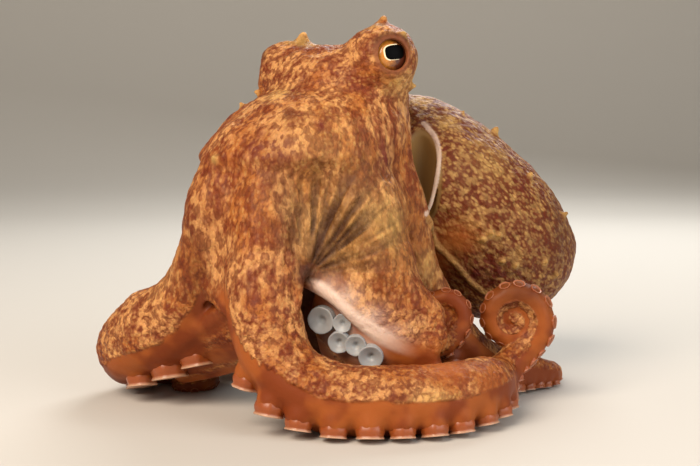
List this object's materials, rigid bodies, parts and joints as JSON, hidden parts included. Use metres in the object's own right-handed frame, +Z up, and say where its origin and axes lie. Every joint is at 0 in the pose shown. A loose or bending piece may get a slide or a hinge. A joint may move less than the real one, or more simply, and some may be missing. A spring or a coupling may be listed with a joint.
{
  "type": "curled octopus, still life-size model",
  "caption": "Still life-size octopus resting on the floor: head and hanging mantle over webbed, coiled arms.",
  "frame": {"origin": "bottom centre of the whole animal's box, on the floor it rests on", "axes": "+Z up; +X to the animal's left and back side, its longest side; it looks toward -Y and a little toward -X"},
  "size_m": [0.1838, 0.159, 0.1386],
  "materials": {
    "mottled_skin": "damp, mottled orange, warty",
    "web_skin": "damp, smooth, orange brown",
    "horn_skin": "damp, rough, olive yellow",
    "sucker_skin": "damp, smooth, pinkish white",
    "eye": "wet gloss, dark with a gold iris"
  },
  "bodies": {
    "root": {"mantle": "mottled_skin", "arm_crown": "mottled_skin", "eye_left": "eye", "horn_left": "horn_skin", "eye_right": "eye", "horn_right": "horn_skin", "head": "mottled_skin", "arm_R1_base": "mottled_skin", "arm_R1_middle": "mottled_skin", "arm_R1_outer": "mottled_skin", "arm_R1_tip": "mottled_skin", "arm_L1_base": "mottled_skin", "arm_L1_middle": "mottled_skin", "arm_L1_outer": "mottled_skin", "arm_L1_tip": "mottled_skin", "arm_L2_base": "mottled_skin", "arm_L2_middle": "mottled_skin", "arm_L2_outer": "mottled_skin", "arm_L2_tip": "mottled_skin", "arm_L3_base": "mottled_skin", "arm_L3_middle": "mottled_skin", "arm_L3_outer": "mottled_skin", "arm_L3_tip": "mottled_skin", "arm_L4_base": "mottled_skin", "arm_L4_middle": "mottled_skin", "arm_L4_outer": "mottled_skin", "arm_L4_tip": "mottled_skin", "arm_R4_base": "mottled_skin", "arm_R4_middle": "mottled_skin", "arm_R4_outer": "mottled_skin", "arm_R4_tip": "mottled_skin", "arm_R3_base": "mottled_skin", "arm_R3_middle": "mottled_skin", "arm_R3_outer": "mottled_skin", "arm_R3_tip": "mottled_skin", "arm_R2_base": "mottled_skin", "arm_R2_middle": "mottled_skin", "arm_R2_outer": "mottled_skin", "arm_R2_tip": "mottled_skin", "funnel": "mottled_skin", "web_R1_L1": "web_skin", "web_L1_L2": "web_skin", "web_L2_L3": "web_skin", "web_L3_L4": "web_skin", "web_L4_R4": "web_skin", "web_R4_R3": "web_skin", "web_R3_R2": "web_skin", "web_R2_R1": "web_skin"}
  },
  "joints": []
}
